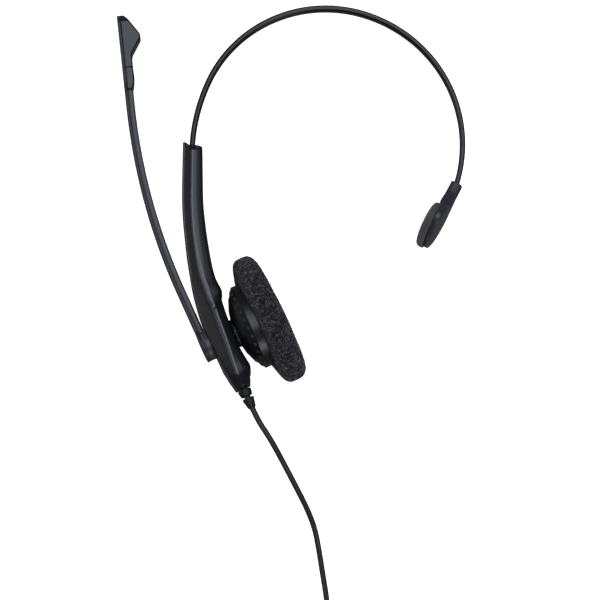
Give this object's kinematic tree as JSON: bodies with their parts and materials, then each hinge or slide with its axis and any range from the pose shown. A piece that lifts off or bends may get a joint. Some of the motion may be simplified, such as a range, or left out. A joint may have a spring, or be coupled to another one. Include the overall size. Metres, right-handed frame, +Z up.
{
  "type": "office headset",
  "caption": "Single-ear wired office headset with a slim sprung headband, foam ear cup, swinging microphone boom, temple pad and corded plug.",
  "frame": {"origin": "middle of the headset's footprint on the table it lies on, without the cord and its plug", "axes": "+X from the boom side towards the temple pad, +Y from the cord end towards the crown of the headband, +Z up from the table"},
  "size_m": [0.1477, 0.2931, 0.0562],
  "materials": {
    "arm_plastic": "satin",
    "cover_plastic": "satin",
    "collar_plastic": "matte",
    "steel": "brushed",
    "board": "gloss",
    "nylon": "satin",
    "boot_rubber": "matte",
    "cord_jacket": "matte",
    "tie_strap": "matte",
    "plug_plastic": "matte",
    "contact_metal": "polished",
    "insulator": "gloss",
    "band_plastic": "satin",
    "carrier_plastic": "satin",
    "pad_rubber": "matte",
    "housing_plastic": "satin",
    "felt": "matte",
    "magnet": "plated",
    "copper": "enamelled wire",
    "film": "gloss",
    "frame_plastic": "matte",
    "foam": "open-cell foam",
    "boom_outer_plastic": "matte",
    "boom_inner_plastic": "matte",
    "wire_skin": "satin"
  },
  "bodies": {
    "arm": {"arm_outer_shell": "arm_plastic", "arm_inner_cover": "cover_plastic", "cover_screws": "steel", "throat_collar": "collar_plastic", "band_spring": "steel", "circuit_board": "board", "ball_stud": "steel", "boom_pivot_bush": "nylon", "friction_washer": "nylon", "strain_relief": "boot_rubber", "cord_anchor": "steel", "cord_tube": "cord_jacket", "cord_coil": "cord_jacket", "cord_tail": "cord_jacket", "cord_tie": "tie_strap", "plug_boot": "plug_plastic", "plug_body": "plug_plastic", "plug_sleeve": "contact_metal", "plug_ring_inner": "contact_metal", "plug_ring_outer": "contact_metal", "plug_insulators": "insulator", "plug_tip": "contact_metal"},
    "headband": {"band_sheath": "band_plastic", "band_core": "steel", "tail_stop": "collar_plastic"},
    "temple": {"temple_carrier": "carrier_plastic", "temple_pad": "pad_rubber", "temple_pin": "steel"},
    "cup_liner": {"ball_liner": "nylon"},
    "earcup": {"cup_housing": "housing_plastic", "socket_retainer": "nylon", "vent_felt": "felt", "speaker_yoke": "steel", "speaker_magnet": "magnet", "speaker_top_plate": "steel", "voice_coil": "copper", "speaker_cone": "film", "speaker_basket": "frame_plastic", "ear_plate": "frame_plastic", "foam_cushion": "foam"},
    "boom": {"boom_outer_strip": "boom_outer_plastic", "boom_inner_strip": "boom_inner_plastic", "mic_cover": "boom_inner_plastic", "mic_gasket": "boot_rubber", "mic_capsule": "magnet", "mic_wires": "wire_skin", "boom_pivot_pin": "steel", "boom_pin_clip": "steel"}
  },
  "joints": [
    {"name": "headband_slide", "type": "slide", "parent": "arm", "child": "headband", "axis": [-0.0019, 0.9821, -0.1886], "range_m": [0, 0.02]},
    {"name": "temple_tilt", "type": "hinge", "parent": "headband", "child": "temple", "pos_m": [0.06883, 0.00335, 0.01698], "axis": [0.0098, 0.1886, 0.982], "range_deg": [0, 14]},
    {"name": "cup_tilt", "type": "hinge", "parent": "arm", "child": "cup_liner", "pos_m": [-0.02021, -0.05568, 0.0292], "axis": [0.0098, 0.1886, 0.982], "range_deg": [-5, 5]},
    {"name": "cup_swivel", "type": "hinge", "parent": "cup_liner", "child": "earcup", "pos_m": [-0.02021, -0.05568, 0.0292], "axis": [0.4116, -0.8958, 0.1679], "range_deg": [-5, 5]},
    {"name": "boom_pivot", "type": "hinge", "parent": "arm", "child": "boom", "pos_m": [-0.03497, -0.0622, 0.0306], "axis": [0.9113, 0.4026, -0.0864], "range_deg": [-135, 135]}
  ]
}
